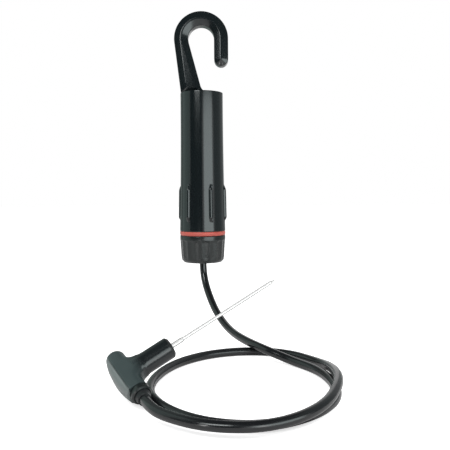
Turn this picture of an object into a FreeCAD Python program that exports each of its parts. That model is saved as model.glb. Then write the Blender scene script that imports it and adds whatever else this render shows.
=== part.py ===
# Soil thermometer probe: a hanging housing with a hook, a screwed end cap and a red seal,
# joined by one free cable to a T-handled needle probe.
# Row frame: origin at the centre of the hook's arch, +Z up, the hook's mouth towards +X,
# the front towards -Y. All sizes in millimetres and degrees.
import FreeCAD, Part
import os
from math import atan2, cos, degrees, pi, radians, sin, sqrt, tan

V = FreeCAD.Vector
os.makedirs("parts", exist_ok=True)

# Fits
RUN_GAP = 0.3          # between curved faces of parts that move past each other
PRESS_GAP = 0.03       # between a pressed or bonded pair
WIRE_GAP = 0.15        # round wires and screws in their holes
OVERCUT = 1.0          # cutters run this far past the faces they open

# Hook
HOOK_OUTER_R = 23.0
HOOK_INNER_R = 11.0
HOOK_THICK = 13.0      # across the ridges
HOOK_RIM = 9.2         # width of the flat rim
BEVEL_RUN = 5.3        # from rim to ridge, in the plane of the hook
TIP_DROP = 17.0        # arch centre to the centre of the rounded tip
OUTER_LEAN = 7.0       # degrees, outer side of the limb
INNER_LEAN = 15.0      # degrees, inner side of the limb
FOOT_R = 8.0           # concave foot where the limb meets the barrel

# Barrel
BARREL_TOP = -45.4
BARREL_LENGTH = 118.2
BARREL_TOP_R = 18.2
BARREL_MID_R = 18.55
BARREL_END_R = 19.7
BARREL_WALL = 2.4
BARREL_TOP_WALL = 3.0
BARREL_EDGE = 0.8
BARREL_ARCS = 5        # the swelling side is this many arcs, one above another
MOUTH_WALL = 2.7       # round the seat for the neck of the end cap
MOUTH_DEPTH = 14.5
MOUTH_STEP = 0.7       # the bore above the mouth is narrower by this
MOUTH_STEP_RUN = 1.0
RIB_COUNT = 6
RIB_FIRST = -97.0      # degrees from the front towards the hook's mouth
RIB_LENGTH = 31.0
RIB_END_GAP = 8.7      # from the ribs to the barrel's lower edge
RIB_WIDTH = 3.4
RIB_PROUD = 1.7
RIB_TOP_RAMP = 5.5
RIB_END_RAMP = 3.5

# Seal ring
SEAL_HEIGHT = 3.8
SEAL_ROUND = 0.7

# End cap
CAP_INSET = 0.1        # the cap's rim inside the barrel's
CAP_TAPER = 0.9        # from the collar to the foot
CAP_HEIGHT = 18.6      # from the flange to where the rounded foot starts
CAP_COLLAR = 3.6
CAP_ROUNDING = 4.6     # height of the rounded foot
CAP_FOOT_INSET = 2.2   # from the foot to the edge of the flat bottom
CAP_DOME = 0.8
CAP_EDGE = 0.6
FOOT_BULGE = 0.3       # of the foot's inset, at FOOT_BULGE_AT of its height
FOOT_BULGE_AT = 0.6
NECK_LENGTH = 14.0
NECK_WALL = 1.7
NECK_EDGE = 0.5
CAVITY_WALL = 5.5
CAVITY_DRAFT = 0.4
CAP_FLOOR = 3.8
FLUTE_COUNT = 18
FLUTE_R = 3.4
FLUTE_DEPTH = 0.55
FLUTE_LENGTH = 13.5
FLUTE_DROP = 2.0       # from the collar to the centre of each flute's round top
GLAND_R = 6.5
GLAND_WALL = 2.0
GLAND_DRAFT = 0.3
CAP_HOLE_R = 3.9
CAP_HOLE_FLARE = 0.8

# Carrier inside the barrel
PLUG_RISE = 1.9        # from the cap's flange to the plug's seat in the neck
PLUG_HEIGHT = 7.5
PLUG_EDGE = 0.6
TRAY_WIDTH = 26.0
TRAY_THICK = 2.0
TRAY_BACK = 5.0        # rear face of the tray, behind the axis
TRAY_RAIL = 1.8
TRAY_RAIL_DEPTH = 5.0
TRAY_TOP_GAP = 2.5     # below the barrel's ceiling
BOSS_LENGTH = 8.5
WASHER_THICK = 1.0
CLAMP_R = 5.6
CLAMP_HEIGHT = 4.5
CLAMP_SLOT = 1.2
CLAMP_EDGE = 0.5
GROMMET_TAPER = 0.9
GROMMET_TAPER_LENGTH = 2.5

# Board and cell
BOARD_WIDTH = 20.0
BOARD_THICK = 1.6
BOARD_RISE = 15.5      # above the carrier's plug
CHIPS = ((-3.5, 0.21, 7.0, 0.26, 1.0), (4.8, 0.51, 5.0, 0.19, 0.9), (-5.0, 0.58, 3.2, 0.19, 1.2))
SOCKET_SIZE = (10.0, 5.0, 6.0)
SOCKET_RISE = 0.5      # above the board's lower edge
LEAD_PLUG_SIZE = (8.0, 4.0, 4.0)
SCREW_R = 1.0
SCREW_HEAD_R = 1.9
SCREW_HEAD = 1.2
SCREW_INSET = 2.6
CELL_R = 7.25
CELL_LENGTH = 49.5
CELL_EDGE = 0.6
CELL_GAP = 0.3         # between the cell and the tray
CLIP_TOP_GAP = 0.6     # from the upper clip's foot to the tray's end
CELL_NUB_R = 2.75
CELL_NUB = 1.0
CLIP_BOARD_GAP = 0.5   # between the lower clip's foot and the board
CLIP_THICK = 0.5
CLIP_WIDTH = 11.0
CLIP_FOOT = 3.5

# Cable
CABLE_R = 3.0
CABLE_END_RISE = 9.0   # jacket above the carrier's plug
WIRE_R = 0.55
WIRE_SPACING = 1.6
SPLICE_R = 0.95
SPLICE_LENGTH = 6.2
SPLICE_SPACING = 2.08

# Probe handle, placed by its collar's centre: c runs along the crossbar to the cable,
# n along the needle, and m is the normal of the broad face.
COLLAR_CENTRE = V(-27.6, -192.9, -242.6)
CROSSBAR_DIR = V(0.516, -0.802, -0.300)
NEEDLE_DIR = V(0.818, 0.357, 0.451)
BAR_END = -41.5
BAR_START = -3.0
STEM_AT = -21.0
PALM_CROWN = -8.9
PALM_CROWN_AT = -19.0
PALM_FAR = -6.5
BAR_FRONT = 5.5
BAR_THICK = 12.5
BAR_ROUND = 4.4
STEM_R = 6.65
STEM_END = 30.5
STEM_WEB_R = 5.0
STEM_BLEND = 7.5
PALM_SEAM = -4.3
SEAM_GROOVE = 0.5
SEAM_DEPTH = 0.7
HANDLE_WALL = 2.0
STEM_BORE_R = 3.4
NOSE_LENGTH = 1.9
NOSE_CHAMFER = 1.3
NOSE_SPIGOT = 5.0
COLLAR_R = 6.0
COLLAR_END = 1.0
COLLAR_ROUND = 0.8
BALL_R = 4.5
BALL_AT = 1.5
BOOT_NECK_R = 3.4
BOOT_NECK_LENGTH = 5.0 # inside the crossbar
CORE_DEPTH = 1.5       # the cores' length inside the neck
CORE_POCKET = 2.0
BOOT_LIP_R = 3.75
BOOT_LIP_FLARE = 0.3
BOOT_LIP = 5.2
BUSH_R = 1.5
BUSH_START = 22.0
BUSH_END = 39.0
BUSH_CONE = 0.8
BUSH_BORE_R = 0.58
BUSH_SPIGOT = 3.0      # inside the needle
NEEDLE_R = 1.1
NEEDLE_BORE_R = 0.8
NEEDLE_END = 110.0
TIP_LENGTH = 4.0
TIP_SPIGOT = 3.0
TIP_BLUNT_R = 0.12
TIP_BLUNT = 0.1
THERMISTOR_R = 0.55
THERMISTOR_LENGTH = 5.0
THERMISTOR_GAP = 0.3
SENSOR_WIRE_R = 0.24
SENSOR_WIRE_SPACING = 0.62
SENSOR_TURN = ((0.0, 6.0, 0.62), (0.9, 2.4, 0.93), (3.0, 0.0, 1.44), (6.6, 0.0, 2.08))

# Route of the cable's centreline: out of the cap, down to the ground, one turn and a half
# of a loose loop, and into the boot of the handle. It lies on the ground at -250.
ROUTE = [
    (0.0, 0.0, -187.0), (0.0, 0.0, -193.0), (0.9, -2.2, -204.5), (4.5, -9.5, -216.5),
    (11.5, -26.0, -230.0), (21.0, -49.0, -238.5), (31.0, -76.5, -240.0),
    (45.5, -101.5, -241.0), (65.5, -112.5, -247.0), (80.5, -134.0, -247.0),
    (86.0, -160.5, -247.0), (83.0, -188.5, -247.0), (66.0, -213.0, -247.0),
    (38.5, -228.5, -247.0), (9.5, -224.0, -247.0), (-13.5, -204.5, -247.0),
    (-27.0, -176.5, -247.0), (-26.0, -145.5, -247.0), (-14.5, -115.0, -247.0),
    (8.0, -93.0, -247.0), (37.0, -85.0, -247.0), (65.0, -92.5, -247.0),
    (83.5, -116.5, -247.0), (88.0, -146.0, -242.0), (85.5, -182.0, -238.8),
    (71.5, -215.5, -241.5), (44.0, -235.5, -243.8), (12.0, -235.5, -244.2),
    (-13.5, -218.8, -244.4), (-22.9, -206.0, -243.4), (-26.3, -195.9, -243.1),
]

# Levels that follow from the sizes above
BARREL_END = BARREL_TOP - BARREL_LENGTH
BARREL_CEILING = BARREL_TOP - BARREL_TOP_WALL
FLANGE = BARREL_END - SEAL_HEIGHT
MOUTH_R = BARREL_END_R - MOUTH_WALL
CAP_R = BARREL_END_R - CAP_INSET
CAP_FOOT_R = CAP_R - CAP_TAPER
CAP_FLAT_R = CAP_FOOT_R - CAP_FOOT_INSET
CAVITY_TOP_R = CAP_R - CAVITY_WALL
CAVITY_LOW_R = CAVITY_TOP_R - CAVITY_DRAFT
NECK_R = MOUTH_R - RUN_GAP
NECK_BORE_R = NECK_R - NECK_WALL
PLUG_R = NECK_BORE_R - RUN_GAP
PLUG_SEAT = FLANGE + PLUG_RISE
PLUG_TOP = PLUG_SEAT + PLUG_HEIGHT
CAP_BOTTOM = FLANGE - CAP_HEIGHT - CAP_ROUNDING
CAP_INSIDE = CAP_BOTTOM + CAP_FLOOR
GLAND_TOP = PLUG_SEAT
BOSS_R = GLAND_R - RUN_GAP
BOSS_END = PLUG_SEAT - BOSS_LENGTH
GROMMET_TOP = BOSS_END - WASHER_THICK
CABLE_BORE_R = CABLE_R + PRESS_GAP
CABLE_TAIL_TOP = PLUG_TOP + CABLE_END_RISE
TRAY_FRONT = TRAY_BACK - TRAY_THICK
TRAY_TOP = BARREL_CEILING - TRAY_TOP_GAP
CELL_LOW = TRAY_TOP - CLIP_TOP_GAP - CLIP_FOOT - CELL_NUB - CELL_LENGTH
BOARD_LOW = PLUG_TOP + BOARD_RISE
BOARD_HIGH = CELL_LOW - CLIP_FOOT - CLIP_BOARD_GAP
BOARD_FRONT = TRAY_FRONT - BOARD_THICK
SOCKET_LOW = BOARD_LOW + SOCKET_RISE
SOCKET_HIGH = SOCKET_LOW + SOCKET_SIZE[2]
LEAD_PLUG_LOW = SOCKET_LOW - LEAD_PLUG_SIZE[2]
LEAD_Y = BOARD_FRONT - SOCKET_SIZE[1] / 2
CELL_Y = TRAY_FRONT - CELL_R - CELL_GAP
NOSE_START = STEM_END - NOSE_LENGTH
STUB_TOP = BAR_FRONT + STEM_WEB_R + STEM_R / 2
SPLICE_START = STEM_AT + SENSOR_TURN[-1][0]
BOOT_NECK_START = BAR_START - BOOT_NECK_LENGTH


def outline(start, *steps):
    """Closed face in the XZ plane: a point is a straight side, a pair of points an arc."""
    edges = []
    here = V(start[0], 0, start[1])
    for step in steps + (start,):
        arc = isinstance(step[0], tuple)
        end = V(step[1][0], 0, step[1][1]) if arc else V(step[0], 0, step[1])
        if arc:
            edges.append(Part.Arc(here, V(step[0][0], 0, step[0][1]), end).toShape())
        elif end.distanceToPoint(here) > 1e-6:
            edges.append(Part.LineSegment(here, end).toShape())
        here = end
    return Part.Face(Part.Wire(edges))


def turned(start, *steps):
    """Solid of revolution about the Z axis, from an outline of (radius, height) points."""
    return outline(start, *steps).revolve(V(0, 0, 0), V(0, 0, 1), 360)


def rod(radius, low, high, x=0.0, y=0.0):
    """Upright cylinder between two levels."""
    return Part.makeCylinder(radius, high - low, V(x, y, low))


def block(low, high):
    """Box between two corners."""
    size = V(*high) - V(*low)
    return Part.makeBox(size.x, size.y, size.z, V(*low))


def on_circle(radius, angle, centre=(0.0, 0.0)):
    """Point of a circle in the XZ plane, at degrees from +X towards +Z."""
    return (centre[0] + radius * cos(radians(angle)), centre[1] + radius * sin(radians(angle)))


def tube_path(points):
    """Straight runs joined by tangent arcs, each as large as its two runs allow."""
    points = [V(*p) for p in points]
    edges = []
    arc_radii = []
    here = points[0]
    for before, corner, after in zip(points, points[1:], points[2:]):
        back = (before - corner).normalize()
        on = (after - corner).normalize()
        reach = 0.45 * min(before.distanceToPoint(corner), after.distanceToPoint(corner))
        half_turn = (pi - back.getAngle(on)) / 2
        arc_radius = reach / tan(half_turn)
        start = corner + back * reach
        end = corner + on * reach
        middle_way = (back + on).normalize()
        middle = corner + middle_way * (sqrt(arc_radius ** 2 + reach ** 2) - arc_radius)
        edges.append(Part.LineSegment(here, start).toShape())
        edges.append(Part.Arc(start, middle, end).toShape())
        arc_radii.append(arc_radius)
        here = end
    edges.append(Part.LineSegment(here, points[-1]).toShape())
    return Part.Wire(edges), arc_radii


def tube(points, radius):
    """Round tube along a path of runs and arcs."""
    path, _ = tube_path(points)
    start = V(*points[0])
    ring = Part.Wire(Part.makeCircle(radius, start, V(*points[1]) - start))
    return path.makePipeShell([ring], True, False)


# Hook and barrel
def hook_outline(inset):
    """Outline of the hook and its limb, drawn in by an inset on every side."""
    outer = HOOK_OUTER_R - inset
    inner = HOOK_INNER_R + inset
    tip = (HOOK_OUTER_R - HOOK_INNER_R) / 2 - inset
    tip_at = ((HOOK_OUTER_R + HOOK_INNER_R) / 2, -TIP_DROP)
    bottom = BARREL_TOP - 3 * BEVEL_RUN
    lean_out = radians(OUTER_LEAN)
    lean_in = radians(INNER_LEAN)
    leave_out = on_circle(outer, 180 + OUTER_LEAN)
    leave_in = on_circle(inner, 180 + INNER_LEAN)
    run_out = (leave_out[1] - bottom) / cos(lean_out)
    foot_out = (leave_out[0] + run_out * sin(lean_out), bottom)
    foot_gap = FOOT_R - HOOK_INNER_R
    foot_z = BARREL_TOP + FOOT_R
    slide = (foot_gap * sin(lean_in) - foot_z) / cos(lean_in)
    foot_centre = (foot_gap * cos(lean_in) + slide * sin(lean_in), foot_z)
    foot_r = FOOT_R + inset
    foot_middle = (180 + INNER_LEAN + 270) / 2
    return outline(
        (outer, 0.0),
        (on_circle(outer, (180 + OUTER_LEAN) / 2), leave_out),
        foot_out,
        (foot_centre[0], bottom),
        on_circle(foot_r, 270, foot_centre),
        (on_circle(foot_r, foot_middle, foot_centre),
         on_circle(foot_r, 180 + INNER_LEAN, foot_centre)),
        leave_in,
        (on_circle(inner, (180 + INNER_LEAN) / 2), (inner, 0.0)),
        (inner, -TIP_DROP),
        (on_circle(tip, 270, tip_at), (outer, -TIP_DROP)),
    )


def bevel_side(side):
    """Bevelled half of the hook, from the flat rim to the flat face on one side."""
    rim = hook_outline(0.0).OuterWire.copy()
    face = hook_outline(BEVEL_RUN).OuterWire.copy()
    rim.translate(V(0, side * HOOK_RIM / 2, 0))
    face.translate(V(0, side * HOOK_THICK / 2, 0))
    return Part.makeLoft([rim, face], True, True)


def hanging_hook():
    """Hook and its leaning limb, whose foot stands on the barrel's top."""
    slab = hook_outline(0.0)
    slab.translate(V(0, -HOOK_RIM / 2, 0))
    solid = slab.extrude(V(0, HOOK_RIM, 0)).fuse([bevel_side(1), bevel_side(-1)])
    reach = 2 * HOOK_OUTER_R
    above = block((-reach, -reach, BARREL_TOP), (reach, reach, reach))
    return solid.common(above).removeSplitter()


def barrel_radius(z):
    """Radius of the barrel's swelling outside at a height, on the arc through three points."""
    middle_z = (BARREL_TOP + BARREL_END) / 2
    half = BARREL_LENGTH / 2
    along = (BARREL_TOP - z) / BARREL_LENGTH
    straight = BARREL_TOP_R + (BARREL_END_R - BARREL_TOP_R) * along
    sag = (BARREL_TOP_R + BARREL_END_R) / 2 - BARREL_MID_R
    return straight - sag * (1 - ((z - middle_z) / half) ** 2)


def rib():
    """One tapered grip rib, at the front, with pointed ends."""
    low = BARREL_END + RIB_END_GAP
    high = low + RIB_LENGTH
    root = 1.0
    side = outline(
        (barrel_radius(low) - root, low),
        (barrel_radius(low), low),
        (barrel_radius(low + RIB_END_RAMP) + RIB_PROUD, low + RIB_END_RAMP),
        (barrel_radius(high - RIB_TOP_RAMP) + RIB_PROUD, high - RIB_TOP_RAMP),
        (barrel_radius(high), high),
        (barrel_radius(high) - root, high),
    )
    side.translate(V(0, -RIB_WIDTH / 2, 0))
    body = side.extrude(V(0, RIB_WIDTH, 0))
    body.rotate(V(0, 0, 0), V(0, 0, 1), -90)
    front = outline(
        (0.0, low),
        (RIB_WIDTH / 2, low + RIB_END_RAMP),
        (RIB_WIDTH / 2, high - RIB_TOP_RAMP),
        (0.0, high),
        (-RIB_WIDTH / 2, high - RIB_TOP_RAMP),
        (-RIB_WIDTH / 2, low + RIB_END_RAMP),
    )
    reach = 2 * BARREL_END_R
    front.translate(V(0, -reach, 0))
    crest = barrel_radius(high - RIB_TOP_RAMP) + RIB_PROUD
    round_top = rod(RIB_WIDTH / 2, low, high, 0, -crest + RIB_WIDTH / 2)
    deep = block((-RIB_WIDTH, -crest + RIB_WIDTH / 2, low), (RIB_WIDTH, 0, high))
    return body.common(front.extrude(V(0, reach, 0))).common(round_top.fuse(deep))


def barrel():
    edge = BARREL_EDGE
    corner = edge * (1 - sqrt(0.5))
    high = BARREL_TOP - edge
    low = BARREL_END + edge / 2
    levels = [high + (low - high) * k / BARREL_ARCS for k in range(BARREL_ARCS + 1)]
    side = []
    for above, below in zip(levels, levels[1:]):
        middle = (above + below) / 2
        side.append(((barrel_radius(middle), middle), (barrel_radius(below), below)))
    top_r = barrel_radius(high)
    outside = turned(
        (0.0, BARREL_TOP),
        (top_r - edge, BARREL_TOP),
        ((top_r - corner, BARREL_TOP - corner), (top_r, high)),
        *side,
        (barrel_radius(low) - edge / 2, BARREL_END),
        (0.0, BARREL_END),
    )
    ribs = []
    for number in range(RIB_COUNT):
        one = rib()
        one.rotate(V(0, 0, 0), V(0, 0, 1), RIB_FIRST + number * 360.0 / RIB_COUNT)
        ribs.append(one)
    mouth_top = BARREL_END + MOUTH_DEPTH
    bore_top_r = BARREL_TOP_R - BARREL_WALL
    bore_low_r = MOUTH_R - MOUTH_STEP
    inside = turned(
        (0.0, BARREL_CEILING),
        (bore_top_r, BARREL_CEILING),
        (bore_low_r, mouth_top + MOUTH_STEP_RUN),
        (MOUTH_R, mouth_top),
        (MOUTH_R, BARREL_END - OVERCUT),
        (0.0, BARREL_END - OVERCUT),
    )
    return outside.fuse(ribs).cut(inside).removeSplitter()


# Screwed end
def seal_ring():
    inner = NECK_R + RUN_GAP
    outer = BARREL_END_R
    return turned(
        (inner, FLANGE),
        (outer - SEAL_ROUND, FLANGE),
        ((outer, (FLANGE + BARREL_END) / 2), (outer - SEAL_ROUND, BARREL_END)),
        (inner, BARREL_END),
    )


def flute():
    """Upright groove cutter with a round top, at the front of the cap's grip."""
    top = FLANGE - CAP_COLLAR - FLUTE_DROP
    away = CAP_R - FLUTE_DEPTH + FLUTE_R
    groove = rod(FLUTE_R, top - FLUTE_LENGTH, top, 0, -away)
    return groove.fuse(Part.makeSphere(FLUTE_R, V(0, -away, top)))


def end_cap():
    grip_low = FLANGE - CAP_HEIGHT
    dome = CAP_BOTTOM - CAP_DOME
    foot_middle = CAP_FOOT_R - FOOT_BULGE * (CAP_FOOT_R - CAP_FLAT_R)
    corner = CAP_EDGE * (1 - sqrt(0.5))
    outside = turned(
        (0.0, FLANGE + NECK_LENGTH),
        (NECK_R - NECK_EDGE, FLANGE + NECK_LENGTH),
        (NECK_R, FLANGE + NECK_LENGTH - NECK_EDGE),
        (NECK_R, FLANGE),
        (CAP_R - CAP_EDGE, FLANGE),
        ((CAP_R - corner, FLANGE - corner), (CAP_R, FLANGE - CAP_EDGE)),
        (CAP_R, FLANGE - CAP_COLLAR),
        (CAP_FOOT_R, grip_low),
        ((foot_middle, grip_low - FOOT_BULGE_AT * CAP_ROUNDING), (CAP_FLAT_R, CAP_BOTTOM)),
        ((CAP_FLAT_R / 2, dome + CAP_DOME / 4), (0.0, dome)),
    )
    cutters = []
    for number in range(FLUTE_COUNT):
        one = flute()
        one.rotate(V(0, 0, 0), V(0, 0, 1), number * 360.0 / FLUTE_COUNT)
        cutters.append(one)
    cavity = turned(
        (0.0, FLANGE + NECK_LENGTH + OVERCUT),
        (NECK_BORE_R, FLANGE + NECK_LENGTH + OVERCUT),
        (NECK_BORE_R, PLUG_SEAT),
        (CAVITY_TOP_R, PLUG_SEAT),
        (CAVITY_LOW_R, CAP_INSIDE),
        (GLAND_R + GLAND_WALL + GLAND_DRAFT, CAP_INSIDE),
        (GLAND_R + GLAND_WALL, GLAND_TOP),
        (0.0, GLAND_TOP),
    )
    gland = rod(GLAND_R, CAP_INSIDE, GLAND_TOP)
    hole = turned(
        (0.0, CAP_INSIDE + OVERCUT),
        (CAP_HOLE_R, CAP_INSIDE + OVERCUT),
        (CAP_HOLE_R, CAP_BOTTOM + CAP_FLOOR / 2),
        (CAP_HOLE_R + CAP_HOLE_FLARE, dome - OVERCUT),
        (0.0, dome - OVERCUT),
    )
    return outside.cut(cutters).cut([cavity, gland, hole]).removeSplitter()


# Inside of the housing
def screw_places():
    """Centres of the two board screws, as (x, z)."""
    side = BOARD_WIDTH / 2 - SCREW_INSET
    return ((side, BOARD_LOW + SCREW_INSET), (-side, BOARD_HIGH - SCREW_INSET))


def cross_hole(place, radius, front, back):
    """Cylinder along Y through a board or the tray."""
    return Part.makeCylinder(radius, back - front, V(place[0], front, place[1]), V(0, 1, 0))


def carrier():
    plug = turned(
        (CABLE_BORE_R, PLUG_TOP),
        (PLUG_R - PLUG_EDGE, PLUG_TOP),
        (PLUG_R, PLUG_TOP - PLUG_EDGE),
        (PLUG_R, PLUG_SEAT),
        (BOSS_R, PLUG_SEAT),
        (BOSS_R, BOSS_END),
        (CABLE_BORE_R, BOSS_END),
    )
    half = TRAY_WIDTH / 2
    sunk = PLUG_TOP - OVERCUT
    plate = block((-half, TRAY_FRONT, sunk), (half, TRAY_BACK, TRAY_TOP))
    rail_front = TRAY_FRONT - TRAY_RAIL_DEPTH
    rails = []
    for low in (-half, half - TRAY_RAIL):
        rails.append(block((low, rail_front, sunk), (low + TRAY_RAIL, TRAY_BACK, TRAY_TOP)))
    rounding = rod(PLUG_R, BOSS_END, TRAY_TOP)
    holes = []
    for place in screw_places():
        holes.append(cross_hole(place, SCREW_R + PRESS_GAP, TRAY_FRONT - OVERCUT, TRAY_BACK + OVERCUT))
    bore = rod(CABLE_BORE_R, BOSS_END - OVERCUT, CABLE_TAIL_TOP + OVERCUT)
    clamp_room = rod(CLAMP_R + RUN_GAP, PLUG_TOP, PLUG_TOP + CLAMP_HEIGHT + RUN_GAP)
    whole = plug.fuse([plate] + rails).common(rounding)
    return whole.cut(holes + [bore, clamp_room]).removeSplitter()


def circuit_board():
    half = BOARD_WIDTH / 2
    board = block((-half, BOARD_FRONT, BOARD_LOW), (half, TRAY_FRONT, BOARD_HIGH))
    holes = []
    for place in screw_places():
        holes.append(cross_hole(place, SCREW_R + WIRE_GAP, BOARD_FRONT - OVERCUT, TRAY_FRONT + OVERCUT))
    return board.cut(holes)


def board_chip(chip):
    """Chip placed and sized up the board by shares of the length above the socket."""
    x, rise_share, width, height_share, thick = chip
    free = BOARD_HIGH - SOCKET_HIGH
    middle = SOCKET_HIGH + rise_share * free
    half = height_share * free / 2
    low = (x - width / 2, BOARD_FRONT - thick, middle - half)
    return block(low, (x + width / 2, BOARD_FRONT, middle + half))


def board_screw(place):
    shank = cross_hole(place, SCREW_R, BOARD_FRONT, TRAY_BACK)
    head = cross_hole(place, SCREW_HEAD_R, BOARD_FRONT - SCREW_HEAD, BOARD_FRONT)
    return head.fuse(shank).removeSplitter()


def board_socket():
    width, depth, height = SOCKET_SIZE
    body = block((-width / 2, BOARD_FRONT - depth, SOCKET_LOW),
                 (width / 2, BOARD_FRONT, SOCKET_HIGH))
    wall = (width - LEAD_PLUG_SIZE[0]) / 2
    slot = LEAD_PLUG_SIZE[1] / 2 - wall / 2
    pocket = block((-width / 2 + wall, LEAD_Y - slot, SOCKET_LOW - OVERCUT),
                   (width / 2 - wall, LEAD_Y + slot, SOCKET_LOW + height / 2))
    return body.cut(pocket)


def wire_x():
    """Places of the two wires either side of the axis."""
    return (-WIRE_SPACING / 2, WIRE_SPACING / 2)


def lead_plug():
    width, depth = LEAD_PLUG_SIZE[:2]
    body = block((-width / 2, LEAD_Y - depth / 2, LEAD_PLUG_LOW),
                 (width / 2, LEAD_Y + depth / 2, SOCKET_LOW))
    return body


def lead_wires():
    rise = LEAD_PLUG_LOW - CABLE_TAIL_TOP
    wires = []
    for x in wire_x():
        wires.append(tube([
            (x, 0.0, CABLE_TAIL_TOP), (x, 0.0, CABLE_TAIL_TOP + rise / 3),
            (x, LEAD_Y, LEAD_PLUG_LOW - rise / 3), (x, LEAD_Y, LEAD_PLUG_LOW)], WIRE_R))
    return Part.makeCompound(wires)


def battery_cell():
    edge = CELL_EDGE
    top = CELL_LOW + CELL_LENGTH
    cell = turned(
        (0.0, CELL_LOW),
        (CELL_R - edge, CELL_LOW),
        (CELL_R, CELL_LOW + edge),
        (CELL_R, top - edge),
        (CELL_R - edge, top),
        (CELL_NUB_R, top),
        (CELL_NUB_R, top + CELL_NUB),
        (0.0, top + CELL_NUB),
    )
    cell.translate(V(0, CELL_Y, 0))
    return cell


def battery_clip(contact, side):
    """Bent contact plate: it touches one end of the cell and its foot lies on the tray."""
    half = CLIP_WIDTH / 2
    far = contact + side * CLIP_THICK
    low, high = min(contact, far), max(contact, far)
    leaf = block((-half, CELL_Y - half, low), (half, TRAY_FRONT, high))
    foot_end = contact + side * CLIP_FOOT
    foot = block((-half, TRAY_FRONT - CLIP_THICK, min(contact, foot_end)),
                 (half, TRAY_FRONT, max(contact, foot_end)))
    return leaf.fuse(foot).removeSplitter()


# Cable and its fittings
def cable():
    path, arc_radii = tube_path(ROUTE)
    start = V(*ROUTE[0])
    ring = Part.Wire(Part.makeCircle(CABLE_R, start, V(*ROUTE[1]) - start))
    solid = path.makePipeShell([ring], True, False)
    expected = pi * CABLE_R ** 2 * path.Length
    print("cable length", round(path.Length, 1), "radii", [round(r, 1) for r in arc_radii])
    print("cable volume / section x length", round(solid.Volume / expected, 5))
    return solid


def cable_tail():
    return rod(CABLE_R, ROUTE[0][2], CABLE_TAIL_TOP)


def cable_clamp():
    """Split collar that grips the jacket on top of the carrier's plug."""
    top = PLUG_TOP + CLAMP_HEIGHT
    collar = turned(
        (CABLE_BORE_R, PLUG_TOP),
        (CLAMP_R, PLUG_TOP),
        (CLAMP_R, top - CLAMP_EDGE),
        (CLAMP_R - CLAMP_EDGE, top),
        (CABLE_BORE_R, top),
    )
    half = CLAMP_SLOT / 2
    slot = block((-half, -CLAMP_R - OVERCUT, PLUG_TOP - OVERCUT), (half, 0, top + OVERCUT))
    return collar.cut(slot)


def cable_grommet():
    return turned(
        (CABLE_BORE_R, CAP_INSIDE),
        (BOSS_R - GROMMET_TAPER, CAP_INSIDE),
        (BOSS_R, CAP_INSIDE + GROMMET_TAPER_LENGTH),
        (BOSS_R, GROMMET_TOP),
        (CABLE_BORE_R, GROMMET_TOP),
    )


def grommet_washer():
    return turned(
        (CABLE_BORE_R, GROMMET_TOP),
        (BOSS_R, GROMMET_TOP),
        (BOSS_R, BOSS_END),
        (CABLE_BORE_R, BOSS_END),
    )


# Probe handle, built with X along c, Y along -m and Z along n
def handle_frame():
    """Placement that carries the handle's own frame to where the probe lies."""
    c = V(CROSSBAR_DIR).normalize()
    n = NEEDLE_DIR - c * NEEDLE_DIR.dot(c)
    n.normalize()
    y = n.cross(c)
    rotation = FreeCAD.Rotation(c, y, n, "XZY")
    return FreeCAD.Placement(COLLAR_CENTRE, rotation)


def placed(shape):
    shape.Placement = handle_frame().multiply(shape.Placement)
    return shape


def handle_outline():
    """T outline: crowned palm side, round far end and concave webs up to the stem."""
    end_r = (BAR_FRONT - PALM_FAR) / 2
    end_at = (BAR_END + end_r, BAR_FRONT - end_r)
    across = PALM_CROWN_AT - end_at[0]
    below = PALM_CROWN - end_at[1]
    palm_r = (end_r ** 2 - across ** 2 - below ** 2) / (2 * (below + end_r))
    palm_at = (PALM_CROWN_AT, PALM_CROWN + palm_r)
    meeting = degrees(atan2(end_at[1] - palm_at[1], end_at[0] - palm_at[0])) + 360
    near_z = palm_at[1] - sqrt(palm_r ** 2 - (BAR_START - palm_at[0]) ** 2)
    left = STEM_AT - STEM_R
    right = STEM_AT + STEM_R
    web_top = BAR_FRONT + STEM_WEB_R
    left_web = (left - STEM_WEB_R, web_top)
    right_web = (right + STEM_WEB_R, web_top)
    return outline(
        (BAR_START, near_z),
        ((PALM_CROWN_AT, PALM_CROWN), on_circle(end_r, meeting, end_at)),
        (on_circle(end_r, (meeting + 90) / 2, end_at), (end_at[0], BAR_FRONT)),
        (left_web[0], BAR_FRONT),
        (on_circle(STEM_WEB_R, -45, left_web), (left, web_top)),
        (left, STUB_TOP),
        (right, STUB_TOP),
        (right, web_top),
        (on_circle(STEM_WEB_R, 225, right_web), (right_web[0], BAR_FRONT)),
        (BAR_START, BAR_FRONT),
    )


def handle_form():
    """Whole outer form of the handle, without the stem's end."""
    face = handle_outline()
    face.translate(V(0, -BAR_THICK / 2, 0))
    plate = face.extrude(V(0, BAR_THICK, 0))
    rims = []
    for edge in plate.Edges:
        box = edge.BoundBox
        on_side = abs(abs(box.YMin) - BAR_THICK / 2) < 1e-6 and box.YLength < 1e-6
        if on_side and box.ZMin < STUB_TOP - 1e-3 and box.XMin < BAR_START - 1e-3:
            rims.append(edge)
    rounded = plate.makeFillet(BAR_ROUND, rims)
    bell_low = BAR_FRONT
    bell_top = BAR_FRONT + STEM_BLEND
    reach = STEM_R + STEM_BLEND
    below = BAR_FRONT - 2 * reach
    beyond = -2 * BAR_END
    bell = turned(
        (0.0, below),
        (beyond, below),
        (beyond, bell_low),
        (reach, bell_low),
        ((STEM_R + STEM_BLEND * (1 - sqrt(0.5)), bell_top - STEM_BLEND * sqrt(0.5)),
         (STEM_R, bell_top)),
        (STEM_R, STUB_TOP + OVERCUT),
        (0.0, STUB_TOP + OVERCUT),
    )
    bell.translate(V(STEM_AT, 0, 0))
    stem = rod(STEM_R, BAR_FRONT, NOSE_START, STEM_AT)
    return rounded.common(bell).fuse(stem).removeSplitter()


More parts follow.
